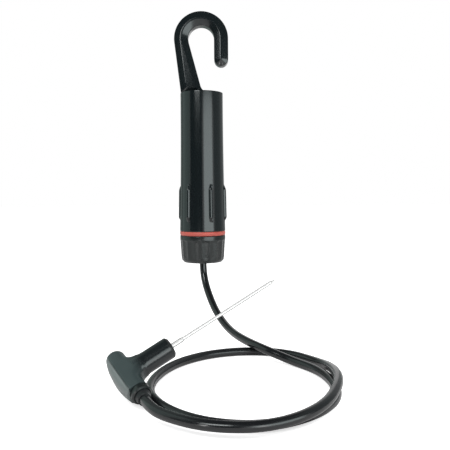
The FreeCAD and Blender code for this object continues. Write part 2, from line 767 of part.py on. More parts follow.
def handle_cavity():
    """Hollow of the crossbar and the bore up the stem."""
    half = BAR_THICK / 2 - HANDLE_WALL
    room = block((BAR_END + 2 * HANDLE_WALL, -half, PALM_SEAM - OVERCUT),
                 (BAR_START - 1.5 * HANDLE_WALL, half, BAR_FRONT - HANDLE_WALL))
    bore = rod(STEM_BORE_R, 0, NOSE_START + OVERCUT, STEM_AT)
    neck = Part.makeCylinder(BOOT_NECK_R + PRESS_GAP, 4 * HANDLE_WALL,
                             V(BAR_START - 2 * HANDLE_WALL, 0, 0), V(1, 0, 0))
    return [room, bore, neck]


def palm_side(low, high):
    """Slab across the handle between two heights."""
    return block((2 * BAR_END, -BAR_THICK, low), (-BAR_START, BAR_THICK, high))


def handle_body():
    body = handle_form().cut(palm_side(2 * PALM_CROWN, PALM_SEAM))
    return placed(body.cut(handle_cavity()).removeSplitter())


def handle_cover():
    cover = handle_form().common(palm_side(2 * PALM_CROWN, PALM_SEAM))
    half = BAR_THICK / 2 - SEAM_DEPTH
    kept = block((BAR_END + 2 * SEAM_DEPTH, -half, PALM_SEAM - OVERCUT),
                 (BAR_START - SEAM_DEPTH, half, PALM_SEAM + OVERCUT))
    groove = palm_side(PALM_SEAM - SEAM_GROOVE, PALM_SEAM + OVERCUT / 2).cut(kept)
    return placed(cover.cut(groove).removeSplitter())


def nose_ring():
    ring = turned(
        (BUSH_R + PRESS_GAP, NOSE_START - NOSE_SPIGOT),
        (STEM_BORE_R - PRESS_GAP, NOSE_START - NOSE_SPIGOT),
        (STEM_BORE_R - PRESS_GAP, NOSE_START),
        (STEM_R, NOSE_START),
        (STEM_R, STEM_END - NOSE_CHAMFER),
        (STEM_R - NOSE_CHAMFER, STEM_END),
        (BUSH_R + PRESS_GAP, STEM_END),
    )
    ring.translate(V(STEM_AT, 0, 0))
    return placed(ring)


def needle_bush():
    """Thick base of the needle, with a cone up to it and a hollow spigot inside it."""
    spigot = NEEDLE_BORE_R - PRESS_GAP
    bush = turned(
        (BUSH_BORE_R, BUSH_START),
        (BUSH_R, BUSH_START),
        (BUSH_R, BUSH_END - BUSH_CONE),
        (NEEDLE_R, BUSH_END),
        (spigot, BUSH_END),
        (spigot, BUSH_END + BUSH_SPIGOT),
        (BUSH_BORE_R, BUSH_END + BUSH_SPIGOT),
    )
    bush.translate(V(STEM_AT, 0, 0))
    return placed(bush)


def needle_tube():
    end = NEEDLE_END - TIP_LENGTH
    pipe = rod(NEEDLE_R, BUSH_END, end, STEM_AT)
    return placed(pipe.cut(rod(NEEDLE_BORE_R, BUSH_END - OVERCUT, end + OVERCUT, STEM_AT)))


def needle_tip():
    shoulder = NEEDLE_END - TIP_LENGTH
    spigot = NEEDLE_BORE_R - PRESS_GAP
    tip = turned(
        (0.0, shoulder - TIP_SPIGOT),
        (spigot, shoulder - TIP_SPIGOT),
        (spigot, shoulder),
        (NEEDLE_R, shoulder),
        (TIP_BLUNT_R, NEEDLE_END - TIP_BLUNT),
        (0.0, NEEDLE_END),
    )
    tip.translate(V(STEM_AT, 0, 0))
    return placed(tip)


def thermistor_low():
    return NEEDLE_END - TIP_LENGTH - TIP_SPIGOT - THERMISTOR_LENGTH - THERMISTOR_GAP


def thermistor():
    low = thermistor_low()
    bead = rod(THERMISTOR_R, low, low + THERMISTOR_LENGTH, STEM_AT)
    return placed(bead)


def sensor_leads():
    """Two fine wires from the bead down the needle, turned along the crossbar to the splices."""
    wires = []
    for side in (-0.5, 0.5):
        points = [(STEM_AT, side * SENSOR_WIRE_SPACING, thermistor_low())]
        for along, height, spacing in SENSOR_TURN:
            points.append((STEM_AT + along, side * spacing, height))
        wires.append(tube(points, SENSOR_WIRE_R))
    return placed(Part.makeCompound(wires))


def splice_places():
    return (-SPLICE_SPACING / 2, SPLICE_SPACING / 2)


def splice_sleeves():
    sleeves = []
    for y in splice_places():
        start = V(SPLICE_START, y, 0)
        sleeves.append(Part.makeCylinder(SPLICE_R, SPLICE_LENGTH, start, V(1, 0, 0)))
    return placed(Part.makeCompound(sleeves))


def cable_cores():
    """Two cores of the cable, from the splices into the boot."""
    start = SPLICE_START + SPLICE_LENGTH
    end = BOOT_NECK_START + CORE_DEPTH
    cores = []
    for y in splice_places():
        cores.append(Part.makeCylinder(WIRE_R, end - start, V(start, y, 0), V(1, 0, 0)))
    return placed(Part.makeCompound(cores))


def boot_collar():
    x = V(1, 0, 0)
    ring = turned(
        (BOOT_NECK_R + PRESS_GAP, BAR_START),
        (COLLAR_R, BAR_START),
        (COLLAR_R, COLLAR_END - COLLAR_ROUND),
        (COLLAR_R - COLLAR_ROUND, COLLAR_END),
        (BOOT_NECK_R + PRESS_GAP, COLLAR_END),
    )
    ring.rotate(V(0, 0, 0), V(0, 1, 0), 90)
    socket = Part.makeSphere(BALL_R + PRESS_GAP, x * BALL_AT)
    return placed(ring.cut(socket))


def cable_boot():
    """Moulded boot: a neck in the crossbar, a ball in the collar and a lip round the cable."""
    frame = handle_frame()
    x = V(1, 0, 0)
    low = BOOT_NECK_START
    neck = Part.makeCylinder(BOOT_NECK_R, BALL_AT - low, V(low, 0, 0), x)
    body = neck.fuse(Part.makeSphere(BALL_R, x * BALL_AT))
    wires = []
    for y in splice_places():
        start = V(low - OVERCUT, y, 0)
        wires.append(Part.makeCylinder(WIRE_R + PRESS_GAP, CORE_POCKET + OVERCUT, start, x))
    body = placed(body.cut(wires))
    ball = frame.multVec(x * BALL_AT)
    end = V(*ROUTE[-1])
    out = (V(*ROUTE[-2]) - end).normalize()
    lip = Part.makeCone(BOOT_LIP_R + BOOT_LIP_FLARE, BOOT_LIP_R, BOOT_LIP, ball, out)
    pocket = Part.makeCylinder(CABLE_R + PRESS_GAP, 3 * BOOT_LIP, end, out)
    return body.fuse(lip).cut(pocket).removeSplitter()


def save(node, shape):
    """Write one node and say how big it is."""
    solids = len(shape.Solids)
    shape.exportStep("parts/" + node + ".step")
    print(node, "solids", solids, "volume", round(shape.Volume, 1), "valid", shape.isValid())


NODES = {
    "hanging_hook": hanging_hook,
    "barrel": barrel,
    "seal_ring": seal_ring,
    "end_cap": end_cap,
    "carrier": carrier,
    "circuit_board": circuit_board,
    "board_socket": board_socket,
    "lead_plug": lead_plug,
    "lead_wires": lead_wires,
    "battery_cell": battery_cell,
    "cable": cable,
    "cable_tail": cable_tail,
    "cable_clamp": cable_clamp,
    "cable_grommet": cable_grommet,
    "grommet_washer": grommet_washer,
    "handle_body": handle_body,
    "handle_cover": handle_cover,
    "nose_ring": nose_ring,
    "needle_bush": needle_bush,
    "needle_tube": needle_tube,
    "needle_tip": needle_tip,
    "thermistor": thermistor,
    "sensor_leads": sensor_leads,
    "splice_sleeves": splice_sleeves,
    "cable_cores": cable_cores,
    "boot_collar": boot_collar,
    "cable_boot": cable_boot,
}

for name, make in NODES.items():
    save(name, make())

for number, chip in enumerate(CHIPS, 1):
    save("board_chip_" + str(number), board_chip(chip))

for number, place in enumerate(screw_places(), 1):
    save("board_screw_" + str(number), board_screw(place))

save("battery_clip_low", battery_clip(CELL_LOW, -1))
save("battery_clip_high", battery_clip(CELL_LOW + CELL_LENGTH + CELL_NUB, 1))
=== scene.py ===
from math import asin, cos, pi, radians, sin, sqrt, tan

import bmesh
import bpy
from mathutils import Matrix, Vector

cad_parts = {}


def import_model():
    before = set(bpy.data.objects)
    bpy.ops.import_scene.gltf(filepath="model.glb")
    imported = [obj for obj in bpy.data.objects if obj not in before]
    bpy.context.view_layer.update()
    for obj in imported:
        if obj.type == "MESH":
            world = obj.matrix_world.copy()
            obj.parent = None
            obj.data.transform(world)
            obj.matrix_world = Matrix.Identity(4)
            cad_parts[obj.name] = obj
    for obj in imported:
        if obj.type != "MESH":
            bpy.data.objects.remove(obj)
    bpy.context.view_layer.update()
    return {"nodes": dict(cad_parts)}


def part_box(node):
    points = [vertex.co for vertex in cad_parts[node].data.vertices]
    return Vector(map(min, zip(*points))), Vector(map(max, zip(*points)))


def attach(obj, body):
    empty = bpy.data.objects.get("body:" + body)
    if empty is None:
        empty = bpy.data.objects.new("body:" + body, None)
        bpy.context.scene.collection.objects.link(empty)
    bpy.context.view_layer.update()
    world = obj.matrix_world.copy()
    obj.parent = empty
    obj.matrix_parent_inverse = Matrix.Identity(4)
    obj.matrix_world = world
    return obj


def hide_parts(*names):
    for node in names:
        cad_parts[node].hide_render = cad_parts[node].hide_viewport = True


# Hanging soil thermometer probe, in metres. The origin is the centre of the hook's arch,
# +Z is up, the hook's mouth is towards +X and the front towards -Y.
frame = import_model()
NODES = frame["nodes"]
MM = 0.001

# Sizes that the solids have too
HOOK_OUTER_R = 23.0 * MM
HOOK_INNER_R = 11.0 * MM
HOOK_THICK = 13.0 * MM
HOOK_RIM = 9.2 * MM
BEVEL_RUN = 5.3 * MM
FLAT_INSET = 5.75 * MM
RIDGE_R = 3.2 * MM
RIM_EDGE_R = 0.9 * MM
SOLE_DEPTH = 0.4 * MM
SOLE_RISE = 0.9
TIP_DROP = 17.0 * MM
OUTER_LEAN = radians(7.0)
INNER_LEAN = radians(15.0)
FOOT_R = 8.0 * MM
BARREL_TOP = -45.4 * MM
BARREL_LENGTH = 118.2 * MM
BARREL_TOP_R = 18.2 * MM
BARREL_MID_R = 18.55 * MM
BARREL_END_R = 19.7 * MM
BARREL_WALL = 2.4 * MM
BARREL_TOP_WALL = 3.0 * MM
MOUTH_R = 17.0 * MM
MOUTH_DEPTH = 14.5 * MM
RIB_COUNT = 6
RIB_FIRST = radians(-97.0)
RIB_LENGTH = 31.0 * MM
RIB_END_GAP = 8.7 * MM
RIB_WIDTH = 3.4 * MM
RIB_PROUD = 1.7 * MM
RIB_TOP_RAMP = 5.5 * MM
RIB_END_RAMP = 3.5 * MM
RIB_FOOT = 0.3
CABLE_R = 3.0 * MM
THREAD_PITCH = 2.0 * MM
THREAD_TURNS = 4
THREAD_DEPTH = 0.22 * MM
NECK_R = MOUTH_R - 0.3 * MM
CAP_R = 19.6 * MM
CAP_FOOT_R = 18.7 * MM
CAP_FLAT_R = 16.5 * MM
CAP_HOLE_R = 3.9 * MM
CAP_GRIP = 18.6 * MM
CAP_COLLAR = 3.6 * MM
CAP_FLOOR_LIFT = 3.8 * MM
FLUTE_COUNT = 18
FLUTE_DEPTH = 0.62 * MM

# Levels, some of them read from the solids
BARREL_END = BARREL_TOP - BARREL_LENGTH
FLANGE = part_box("seal_ring")[0].z
NECK_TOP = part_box("end_cap")[1].z
CAP_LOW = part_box("end_cap")[0].z
FLOOR = -250.0 * MM

# The cable's route: the control points of its centreline
ROUTE = [
    (0.0, 0.0, -0.187), (0.0, 0.0, -0.193), (0.0009, -0.0022, -0.2045), (0.0045, -0.0095, -0.2165),
    (0.0115, -0.026, -0.23), (0.021, -0.049, -0.2385), (0.031, -0.0765, -0.24),
    (0.0455, -0.1015, -0.241), (0.0655, -0.1125, -0.247), (0.0805, -0.134, -0.247),
    (0.086, -0.1605, -0.247), (0.083, -0.1885, -0.247), (0.066, -0.213, -0.247),
    (0.0385, -0.2285, -0.247), (0.0095, -0.224, -0.247), (-0.0135, -0.2045, -0.247),
    (-0.027, -0.1765, -0.247), (-0.026, -0.1455, -0.247), (-0.0145, -0.115, -0.247),
    (0.008, -0.093, -0.247), (0.037, -0.085, -0.247), (0.065, -0.0925, -0.247),
    (0.0835, -0.1165, -0.247), (0.088, -0.146, -0.242), (0.0855, -0.182, -0.2388),
    (0.0715, -0.2155, -0.2415), (0.044, -0.2355, -0.2438), (0.012, -0.2355, -0.2442),
    (-0.0135, -0.2188, -0.2444), (-0.0229, -0.206, -0.2434), (-0.0263, -0.1959, -0.2431),
]

# The needle's way, and how far along it the collar of the probe's handle lies
CROSSBAR_WAY = Vector((0.516, -0.802, -0.300)).normalized()
NEEDLE_WAY = Vector((0.818, 0.357, 0.451))
NEEDLE_WAY = (NEEDLE_WAY - CROSSBAR_WAY * NEEDLE_WAY.dot(CROSSBAR_WAY)).normalized()
STEM_STARTS = Vector((-0.0276, -0.1929, -0.2426)).dot(NEEDLE_WAY)


# Shapes
def rounded(points, steps=5):
    """Open profile with round corners, from (x, y, corner radius) points."""
    line = [Vector(points[0][:2])]
    for before, corner, after in zip(points, points[1:], points[2:]):
        here = Vector(corner[:2])
        back = Vector(before[:2]) - here
        on = Vector(after[:2]) - here
        half = back.angle(on) / 2
        reach = corner[2] / tan(half) if corner[2] else 0.0
        reach = min(reach, 0.49 * back.length, 0.49 * on.length)
        if reach < 1e-9:
            line.append(here)
            continue
        start = here + back.normalized() * reach
        end = here + on.normalized() * reach
        for k in range(steps + 1):
            t = k / steps
            line.append((1 - t) ** 2 * start + 2 * t * (1 - t) * here + t ** 2 * end)
    line.append(Vector(points[-1][:2]))
    return line


def finish_mesh(name, mesh, body, nodes, material, sharp=40.0):
    """Makes a mesh one of the object's pieces."""
    mesh.validate()
    mesh.shade_smooth()
    mesh.set_sharp_from_angle(angle=radians(sharp))
    piece = bpy.data.objects.new(name, mesh)
    bpy.context.scene.collection.objects.link(piece)
    mesh.materials.clear()
    mesh.materials.append(material)
    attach(piece, body)
    if nodes:
        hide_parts(*nodes)
    return piece


def grid_mesh(name, rows, wrap_rows=False):
    """Closed skin over rows of points, each a closed ring; a row of one point is a pole."""
    mesh = bpy.data.meshes.new(name)
    bm = bmesh.new()
    rings = [[bm.verts.new(p) for p in row] for row in rows]
    pairs = list(zip(rings, rings[1:]))
    if wrap_rows:
        pairs.append((rings[-1], rings[0]))
    for a, b in pairs:
        count = max(len(a), len(b))
        for k in range(count):
            j = (k + 1) % count
            corners = [a[k % len(a)], a[j % len(a)], b[j % len(b)], b[k % len(b)]]
            unique = list(dict.fromkeys(corners))
            if len(unique) > 2:
                bm.faces.new(unique)
    bmesh.ops.recalc_face_normals(bm, faces=bm.faces)
    bm.to_mesh(mesh)
    bm.free()
    return mesh


def spot(radius, angle, height):
    """Point at a radius, an angle from the front towards +X, and a height."""
    return (radius * sin(angle), -radius * cos(angle), height)


def barrel_radius(z):
    """Radius of the barrel's swelling outside at a height."""
    middle = (BARREL_TOP + BARREL_END) / 2
    half = BARREL_LENGTH / 2
    along = (BARREL_TOP - z) / BARREL_LENGTH
    straight = BARREL_TOP_R + (BARREL_END_R - BARREL_TOP_R) * along
    sag = (BARREL_TOP_R + BARREL_END_R) / 2 - BARREL_MID_R
    return straight - sag * (1 - ((z - middle) / half) ** 2)


def barrel_mesh():
    """Barrel with its ribs drawn out of the wall, its mouth and its hollow."""
    low = BARREL_END + RIB_END_GAP
    high = low + RIB_LENGTH
    edge = 0.7 * MM
    plain, fine, last = 14, 44, 4
    near, far = 1.0 * MM, 1.5 * MM
    levels = [BARREL_TOP - edge]
    levels += [BARREL_TOP - edge + (high + far - BARREL_TOP + edge) * (k + 1) / plain
               for k in range(plain)]
    levels += [high + near - (RIB_LENGTH + 2 * near) * k / fine for k in range(fine + 1)]
    levels += [low - far - (RIB_END_GAP - near - far) * k / last for k in range(last + 1)]
    outside = [Vector((barrel_radius(z), z)) for z in levels]
    top = rounded([(0, BARREL_TOP, 0), (BARREL_TOP_R * 0.5, BARREL_TOP, 0),
                   (BARREL_TOP_R, BARREL_TOP, edge), (outside[0].x, outside[0].y - 1e-5, 0)])
    bore_low = MOUTH_R - 0.7 * MM
    ceiling = BARREL_TOP - BARREL_TOP_WALL
    end = rounded([
        (barrel_radius(BARREL_END + 0.8 * MM), BARREL_END + 0.8 * MM, 0),
        (BARREL_END_R, BARREL_END, 0.45 * MM),
        (MOUTH_R + 0.4 * MM, BARREL_END, 0.1 * MM),
        (MOUTH_R, BARREL_END + 0.4 * MM, 0.1 * MM),
        (MOUTH_R, BARREL_END + MOUTH_DEPTH, 0.2 * MM),
        (bore_low, BARREL_END + MOUTH_DEPTH + 1.0 * MM, 0.2 * MM),
        (BARREL_TOP_R - BARREL_WALL, ceiling, 0.8 * MM),
        (0, ceiling, 0)])
    profile = top[:-1] + outside + end
    wall = range(len(top) - 1, len(top) - 1 + len(outside))
    core, between = 10, 12
    steps = [-1 + 2 * k / core for k in range(core + 1)]
    sector = pi / RIB_COUNT

    def rib_at(z):
        """Half width and height of a rib at a level."""
        if z <= low or z >= high:
            return RIB_FOOT, 0.0
        ramp = min((z - low) / RIB_END_RAMP, (high - z) / RIB_TOP_RAMP, 1.0)
        return RIB_FOOT + (1 - RIB_FOOT) * sin(ramp * pi / 2), sin(ramp * pi / 2)

    rows = []
    for index, p in enumerate(profile):
        if p.x < 1e-9:
            rows.append([(0.0, 0.0, p.y)])
            continue
        wide, proud = rib_at(p.y) if index in wall else (RIB_FOOT, 0.0)
        half = wide * RIB_WIDTH / 2 / p.x
        row = []
        for number in range(RIB_COUNT):
            centre = RIB_FIRST + 2 * sector * number
            for s in steps:
                lift = proud * RIB_PROUD * (1 - abs(s) ** 2.4) ** 0.7
                row.append((centre + s * half, p.x + lift))
            for k in range(1, between):
                row.append((centre + half + (2 * sector - 2 * half) * k / between, p.x))
        rows.append([spot(r, a, p.y) for a, r in row])
    return grid_mesh("barrel", rows)


def arc_points(centre, radius, start, end, count):
    """Points of an arc in the XZ plane, both ends in."""
    return [(centre[0] + radius * cos(start + (end - start) * k / count),
             centre[1] + radius * sin(start + (end - start) * k / count))
            for k in range(count + 1)]


def line_points(a, b, count):
    """Points of a straight stretch, without its ends."""
    return [(a[0] + (b[0] - a[0]) * k / count, a[1] + (b[1] - a[1]) * k / count)
            for k in range(1, count)]


def hook_loop(inset):
    """Outline of the hook and limb, drawn in by an inset, down into the barrel's top."""
    outer = HOOK_OUTER_R - inset
    inner = HOOK_INNER_R + inset
    tip = (HOOK_OUTER_R - HOOK_INNER_R) / 2 - inset
    tip_at = ((HOOK_OUTER_R + HOOK_INNER_R) / 2, -TIP_DROP)
    bottom = BARREL_TOP - SOLE_DEPTH + SOLE_RISE * inset
    foot_gap = FOOT_R - HOOK_INNER_R
    foot_z = BARREL_TOP + FOOT_R
    slide = (foot_gap * sin(INNER_LEAN) - foot_z) / cos(INNER_LEAN)
    foot_at = (foot_gap * cos(INNER_LEAN) + slide * sin(INNER_LEAN), foot_z)
    foot_r = FOOT_R + inset
    deepest = min((foot_z - bottom) / foot_r, 1.0)
    foot_end = pi + asin(deepest)
    arch_out = arc_points((0, 0), outer, 0, pi + OUTER_LEAN, 44)
    leave = arch_out[-1]
    run = (leave[1] - bottom) / cos(OUTER_LEAN)
    foot_out = (leave[0] + run * sin(OUTER_LEAN), bottom)
    foot_arc = arc_points(foot_at, foot_r, foot_end, pi + INNER_LEAN, 14)
    sole = (foot_arc[0][0], bottom)
    arch_in = arc_points((0, 0), inner, pi + INNER_LEAN, 0, 40)
    tip_arc = arc_points(tip_at, tip, pi, 2 * pi, 20)
    loop = arch_out + line_points(leave, foot_out, 12) + [foot_out]
    loop += line_points(foot_out, sole, 8) + [sole]
    loop += foot_arc + line_points(foot_arc[-1], arch_in[0], 12) + arch_in
    loop += line_points(arch_in[-1], tip_arc[0], 6) + tip_arc
    loop += line_points(tip_arc[-1], arch_out[0], 6)
    return loop


def hook_mesh():
    """Hook with flat rims, bevelled flanks and soft ridges."""
    section = rounded([
        (FLAT_INSET, -HOOK_THICK / 2, 0),
        (BEVEL_RUN, -HOOK_THICK / 2, RIDGE_R),
        (0, -HOOK_RIM / 2, RIM_EDGE_R),
        (0, HOOK_RIM / 2, RIM_EDGE_R),
        (BEVEL_RUN, HOOK_THICK / 2, RIDGE_R),
        (FLAT_INSET, HOOK_THICK / 2, 0)], steps=6)
    mesh = bpy.data.meshes.new("hook")
    bm = bmesh.new()
    rings = []
    for inset, y in section:
        rings.append([bm.verts.new((x, y, z)) for x, z in hook_loop(inset)])
    count = len(rings[0])
    for a, b in zip(rings, rings[1:]):
        for k in range(count):
            j = (k + 1) % count
            bm.faces.new((a[k], a[j], b[j], b[k]))
    bm.faces.new(rings[0][::-1])
    bm.faces.new(rings[-1])
    bmesh.ops.remove_doubles(bm, verts=bm.verts, dist=1e-7)
    bmesh.ops.triangulate(bm, faces=[f for f in bm.faces if len(f.verts) > 4])
    bmesh.ops.recalc_face_normals(bm, faces=bm.faces)
    bm.to_mesh(mesh)
    bm.free()
    return mesh


def cap_mesh():
    """End cap: a fluted grip with a rounded foot, and a plain neck and hollow."""
    bottom = FLANGE - CAP_GRIP - 4.6 * MM
    grip_low = FLANGE - CAP_GRIP
    collar = FLANGE - CAP_COLLAR
    floor_level = bottom + CAP_FLOOR_LIFT
    shelf = FLANGE + 1.9 * MM
    outside = rounded([
        (CAP_HOLE_R, CAP_LOW + 3.0 * MM, 0),
        (CAP_HOLE_R + 0.7 * MM, CAP_LOW + 0.05 * MM, 0.4 * MM),
        (CAP_FLAT_R * 0.55, CAP_LOW + 0.25 * MM, 0),
        (CAP_FLAT_R, bottom, 0.5 * MM),
        (CAP_FOOT_R - 0.55 * MM, FLANGE - CAP_GRIP - 2.7 * MM, 2.2 * MM),
        (CAP_FOOT_R, grip_low, 1.2 * MM),
    ], steps=5)
    wall_steps = 30
    wall = [Vector((CAP_FOOT_R + (CAP_R - CAP_FOOT_R) * k / wall_steps,
                    grip_low + (CAP_GRIP - CAP_COLLAR) * k / wall_steps))
            for k in range(1, wall_steps + 1)]
    top = rounded([
        (CAP_R, collar + 0.01 * MM, 0),
        (CAP_R, FLANGE, 0.6 * MM),
        (NECK_R, FLANGE, 0.1 * MM),
        (NECK_R, NECK_TOP, 0.4 * MM),
        (NECK_R - 1.7 * MM, NECK_TOP, 0.3 * MM),
        (NECK_R - 1.7 * MM, shelf, 0),
        (14.1 * MM, shelf, 0),
        (13.7 * MM, floor_level, 0),
        (8.8 * MM, floor_level, 0),
        (8.5 * MM, shelf, 0),
        (6.5 * MM, shelf, 0),
        (6.5 * MM, floor_level, 0),
        (CAP_HOLE_R, floor_level, 0),
    ], steps=3)
    profile = outside + wall + top
    first = len(outside) - 8
    last = len(outside) + len(wall)
    per_flute = 14
    count = FLUTE_COUNT * per_flute
    rows = []
    for index, p in enumerate(profile):
        row = []
        for k in range(count):
            across = abs(((k / per_flute) % 1.0) * 2 - 1)
            r = p.x
            if first <= index < last:
                arch = collar - 2.4 * MM * (1 - sqrt(max(0.0, 1 - across ** 2)))
                fade = min(1.0, max(0.0, (arch - p.y) / (1.1 * MM)))
                low_fade = min(1.0, max(0.0, (p.y - (grip_low - 2.2 * MM)) / (2.0 * MM)))
                r -= FLUTE_DEPTH * (1 - across ** 2) * fade * low_fade
            row.append(spot(r, 2 * pi * k / count, p.y))
        rows.append(row)
    return grid_mesh("end_cap_grip", rows, True)


def seal_mesh():
    """Red ring squeezed between the barrel and the cap."""
    low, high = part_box("seal_ring")
    edge_r = BARREL_END_R - 0.2 * MM
    profile = rounded([
        (MOUTH_R, low.z, 0), (edge_r, low.z, 1.0 * MM),
        (BARREL_END_R + 0.05 * MM, (low.z + high.z) / 2, 2.0 * MM),
        (edge_r, high.z, 1.0 * MM), (MOUTH_R, high.z, 0)], steps=6)
    count = 144
    rows = [[spot(p.x, 2 * pi * k / count, p.y) for k in range(count)] for p in profile]
    return grid_mesh("seal_band", rows, True)


def thread_mesh(name, radius, low):
    """Rounded thread ridge, wound as a helix with run-out ends."""
    per_turn = 72
    run_out = 14
    total = per_turn * THREAD_TURNS
    rows = []
    for k in range(total + 1):
        z = low + THREAD_PITCH * k / per_turn
        height = THREAD_DEPTH * min(1.0, k / run_out, (total - k) / run_out)
        root = radius - 0.05 * MM
        rows.append([spot(root + lift * height, 2 * pi * k / per_turn, z + dz * MM)
                     for dz, lift in ((-0.75, 0), (-0.35, 1), (0.35, 1), (0.75, 0))])
    mesh = grid_mesh(name, rows)
    bm = bmesh.new()
    bm.from_mesh(mesh)
    bmesh.ops.holes_fill(bm, edges=[e for e in bm.edges if e.is_boundary])
    bmesh.ops.recalc_face_normals(bm, faces=bm.faces)
    bm.to_mesh(mesh)
    bm.free()
    return mesh


def softened(node, name, slot, material, bevel, sharp):
    """Copy of a solid with merged corners, smooth normals and small round edges."""
    mesh = NODES[node].data.copy()
    mesh.name = name
    bm = bmesh.new()
    bm.from_mesh(mesh)
    bmesh.ops.remove_doubles(bm, verts=bm.verts, dist=1e-6)
    bmesh.ops.dissolve_limit(bm, angle_limit=radians(0.5), verts=bm.verts, edges=bm.edges)
    bm.to_mesh(mesh)
    bm.free()
    piece = finish_mesh(name, mesh, "probe_line", (node,), material, sharp)
    if bevel:
        round_edges = piece.modifiers.new("round_edges", "BEVEL")
        round_edges.width = bevel
        round_edges.segments = 3
        round_edges.limit_method = "ANGLE"
        round_edges.angle_limit = radians(35)
        round_edges.harden_normals = True


# Materials
BRIGHTER = 1.25
GRAIN_HEIGHT = 0.2 * MM


def moulding_group():
    """Unevenness of a moulded or drawn surface: a roughness, a height and a mask."""
    group = bpy.data.node_groups.new("moulded_surface", "ShaderNodeTree")
    face = group.interface
    for name, value in (("Fine Scale", 900.0), ("Broad Scale", 40.0),
                        ("Low Roughness", 0.2), ("High Roughness", 0.3)):
        socket = face.new_socket(name, in_out="INPUT", socket_type="NodeSocketFloat")
        socket.default_value = value
    for name in ("Roughness", "Height", "Mask"):
        face.new_socket(name, in_out="OUTPUT", socket_type="NodeSocketFloat")
    nodes, links = group.nodes, group.links
    inputs = nodes.new("NodeGroupInput")
    outputs = nodes.new("NodeGroupOutput")
    where = nodes.new("ShaderNodeTexCoord")
    fine = nodes.new("ShaderNodeTexNoise")
    broad = nodes.new("ShaderNodeTexNoise")
    fine.inputs["Detail"].default_value = 3.0
    broad.inputs["Detail"].default_value = 4.0
    span = nodes.new("ShaderNodeMapRange")
    span.inputs["From Min"].default_value = 0.35
    span.inputs["From Max"].default_value = 0.65
    mask = nodes.new("ShaderNodeMapRange")
    mask.inputs["From Min"].default_value = 0.55
    mask.inputs["From Max"].default_value = 0.75
    links.new(where.outputs["Object"], fine.inputs["Vector"])
    links.new(where.outputs["Object"], broad.inputs["Vector"])
    links.new(inputs.outputs["Fine Scale"], fine.inputs["Scale"])
    links.new(inputs.outputs["Broad Scale"], broad.inputs["Scale"])
    links.new(broad.outputs["Fac"], span.inputs["Value"])
    links.new(inputs.outputs["Low Roughness"], span.inputs["To Min"])
    links.new(inputs.outputs["High Roughness"], span.inputs["To Max"])
    links.new(broad.outputs["Fac"], mask.inputs["Value"])
    links.new(span.outputs["Result"], outputs.inputs["Roughness"])
    links.new(fine.outputs["Fac"], outputs.inputs["Height"])
    links.new(mask.outputs["Result"], outputs.inputs["Mask"])
    return group


def along_group():
    """Mask that rises from 0 to 1 along a direction, between two distances."""
    group = bpy.data.node_groups.new("along_direction", "ShaderNodeTree")
    face = group.interface
    face.new_socket("Direction", in_out="INPUT", socket_type="NodeSocketVector")
    for name in ("From", "To"):
        face.new_socket(name, in_out="INPUT", socket_type="NodeSocketFloat")
    face.new_socket("Mask", in_out="OUTPUT", socket_type="NodeSocketFloat")
    nodes, links = group.nodes, group.links
    inputs = nodes.new("NodeGroupInput")
    outputs = nodes.new("NodeGroupOutput")
    where = nodes.new("ShaderNodeTexCoord")
    reach = nodes.new("ShaderNodeVectorMath")
    reach.operation = "DOT_PRODUCT"
    rise = nodes.new("ShaderNodeMapRange")
    rise.interpolation_type = "SMOOTHSTEP"
    links.new(where.outputs["Object"], reach.inputs[0])
    links.new(inputs.outputs["Direction"], reach.inputs[1])
    links.new(reach.outputs["Value"], rise.inputs["Value"])
    links.new(inputs.outputs["From"], rise.inputs["From Min"])
    links.new(inputs.outputs["To"], rise.inputs["From Max"])
    links.new(rise.outputs["Result"], outputs.inputs["Mask"])
    return group


MOULDED = moulding_group()
ALONG = along_group()


def surface(name, colour, second=None, rough=(0.2, 0.3), fine=900.0, broad=40.0,
            grain=0.05, metallic=0.0, sheen=0.0):
    """Material of one finish: two close colours, uneven gloss and a fine grain."""
    material = bpy.data.materials.new(name)
    material.use_nodes = True
    nodes, links = material.node_tree.nodes, material.node_tree.links
    shader = nodes["Principled BSDF"]
    shader.inputs["Metallic"].default_value = metallic
    shader.inputs["Sheen Weight"].default_value = sheen
    unevenness = nodes.new("ShaderNodeGroup")
    unevenness.node_tree = MOULDED
    unevenness.inputs["Fine Scale"].default_value = fine
    unevenness.inputs["Broad Scale"].default_value = broad
    unevenness.inputs["Low Roughness"].default_value = rough[0]
    unevenness.inputs["High Roughness"].default_value = rough[1]
    blend = nodes.new("ShaderNodeMix")
    blend.data_type = "RGBA"
    blend.inputs["A"].default_value = (*colour, 1.0)
    blend.inputs["B"].default_value = (*(second or [c * BRIGHTER for c in colour]), 1.0)
    bump = nodes.new("ShaderNodeBump")
    bump.inputs["Strength"].default_value = grain
    bump.inputs["Distance"].default_value = GRAIN_HEIGHT
    links.new(unevenness.outputs["Mask"], blend.inputs["Factor"])
    links.new(blend.outputs["Result"], shader.inputs["Base Color"])
    links.new(unevenness.outputs["Roughness"], shader.inputs["Roughness"])
    links.new(unevenness.outputs["Height"], bump.inputs["Height"])
    links.new(bump.outputs["Normal"], shader.inputs["Normal"])
    return material


